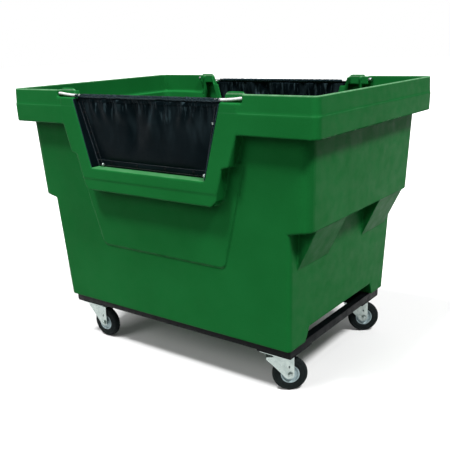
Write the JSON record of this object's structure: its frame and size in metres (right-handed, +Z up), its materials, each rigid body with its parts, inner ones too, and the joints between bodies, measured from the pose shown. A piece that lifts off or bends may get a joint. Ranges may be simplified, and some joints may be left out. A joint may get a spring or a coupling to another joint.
{
  "type": "drop-side bulk truck",
  "caption": "Wheeled bulk truck: tapered one-piece plastic tub with drop sides closed by elastic-hemmed vinyl panels, on an angle-iron chassis with swivel casters.",
  "frame": {"origin": "on the floor, under the middle of the truck", "axes": "+X along the length to the right as seen from the front long side, +Y from the front long side to the rear one, +Z up"},
  "size_m": [1.376, 0.908, 1.06],
  "materials": {
    "green_plastic": "rotationally moulded, fine grain, satin",
    "black_steel": "black paint, satin",
    "zinc_steel": "bright zinc plating",
    "grey_rubber": "matt",
    "black_vinyl": "coated cloth, semi-matt",
    "white_cord": "braided sleeve"
  },
  "bodies": {
    "truck": {"tub": "green_plastic", "tub_bolt_front_1": "zinc_steel", "tub_bolt_front_2": "zinc_steel", "tub_bolt_front_3": "zinc_steel", "tub_bolt_front_4": "zinc_steel", "tub_bolt_rear_1": "zinc_steel", "tub_bolt_rear_2": "zinc_steel", "tub_bolt_rear_3": "zinc_steel", "tub_bolt_rear_4": "zinc_steel", "front_rail": "black_steel", "rear_rail": "black_steel", "left_rail": "black_steel", "right_rail": "black_steel", "pad_front_left": "black_steel", "pad_front_right": "black_steel", "pad_rear_left": "black_steel", "pad_rear_right": "black_steel", "caster_front_left_plate": "zinc_steel", "caster_front_left_race": "zinc_steel", "caster_front_left_kingpin": "zinc_steel", "caster_front_right_plate": "zinc_steel", "caster_front_right_race": "zinc_steel", "caster_front_right_kingpin": "zinc_steel", "caster_rear_left_plate": "zinc_steel", "caster_rear_left_race": "zinc_steel", "caster_rear_left_kingpin": "zinc_steel", "caster_rear_right_plate": "zinc_steel", "caster_rear_right_race": "zinc_steel", "caster_rear_right_kingpin": "zinc_steel", "front_panel": "black_vinyl", "front_ferrule_left": "zinc_steel", "front_ferrule_right": "zinc_steel", "rear_panel": "black_vinyl", "rear_ferrule_left": "zinc_steel", "rear_ferrule_right": "zinc_steel"},
    "front_left_swivel": {"caster_front_left_fork": "zinc_steel", "caster_front_left_axle": "zinc_steel"},
    "front_left_wheel": {"caster_front_left_hub": "zinc_steel", "caster_front_left_tyre": "grey_rubber"},
    "front_right_swivel": {"caster_front_right_fork": "zinc_steel", "caster_front_right_axle": "zinc_steel"},
    "front_right_wheel": {"caster_front_right_hub": "zinc_steel", "caster_front_right_tyre": "grey_rubber"},
    "rear_left_swivel": {"caster_rear_left_fork": "zinc_steel", "caster_rear_left_axle": "zinc_steel"},
    "rear_left_wheel": {"caster_rear_left_hub": "zinc_steel", "caster_rear_left_tyre": "grey_rubber"},
    "rear_right_swivel": {"caster_rear_right_fork": "zinc_steel", "caster_rear_right_axle": "zinc_steel"},
    "rear_right_wheel": {"caster_rear_right_hub": "zinc_steel", "caster_rear_right_tyre": "grey_rubber"},
    "front_hem": {"front_hem": "black_vinyl", "front_cord": "white_cord"},
    "rear_hem": {"rear_hem": "black_vinyl", "rear_cord": "white_cord"}
  },
  "joints": [
    {"name": "front_left_swivel_turn", "type": "hinge", "parent": "truck", "child": "front_left_swivel", "pos_m": [-0.452, -0.3, 0.136], "axis": [0, 0, 1], "continuous": true},
    {"name": "front_left_wheel_spin", "type": "hinge", "parent": "front_left_swivel", "child": "front_left_wheel", "pos_m": [-0.416, -0.3, 0.0635], "axis": [0, 1, 0], "continuous": true},
    {"name": "front_right_swivel_turn", "type": "hinge", "parent": "truck", "child": "front_right_swivel", "pos_m": [0.452, -0.3, 0.136], "axis": [0, 0, 1], "continuous": true},
    {"name": "front_right_wheel_spin", "type": "hinge", "parent": "front_right_swivel", "child": "front_right_wheel", "pos_m": [0.48037, -0.27784, 0.0635], "axis": [-0.6157, 0.788, 0], "continuous": true},
    {"name": "rear_left_swivel_turn", "type": "hinge", "parent": "truck", "child": "rear_left_swivel", "pos_m": [-0.452, 0.3, 0.136], "axis": [0, 0, 1], "continuous": true},
    {"name": "rear_left_wheel_spin", "type": "hinge", "parent": "rear_left_swivel", "child": "rear_left_wheel", "pos_m": [-0.48583, 0.31231, 0.0635], "axis": [-0.342, -0.9397, 0], "continuous": true},
    {"name": "rear_right_swivel_turn", "type": "hinge", "parent": "truck", "child": "rear_right_swivel", "pos_m": [0.452, 0.3, 0.136], "axis": [0, 0, 1], "continuous": true},
    {"name": "rear_right_wheel_spin", "type": "hinge", "parent": "rear_right_swivel", "child": "rear_right_wheel", "pos_m": [0.48037, 0.32216, 0.0635], "axis": [-0.6157, 0.788, 0], "continuous": true},
    {"name": "front_hem_drop", "type": "slide", "parent": "truck", "child": "front_hem", "axis": [0, 0, -1], "range_m": [0, 0.2], "stiffness_N_per_m": 200, "springref_m": -0.08, "deforming": ["front_hem", "front_cord"]},
    {"name": "rear_hem_drop", "type": "slide", "parent": "truck", "child": "rear_hem", "axis": [0, 0, -1], "range_m": [0, 0.2], "stiffness_N_per_m": 200, "springref_m": -0.08, "deforming": ["rear_hem", "rear_cord"]}
  ]
}
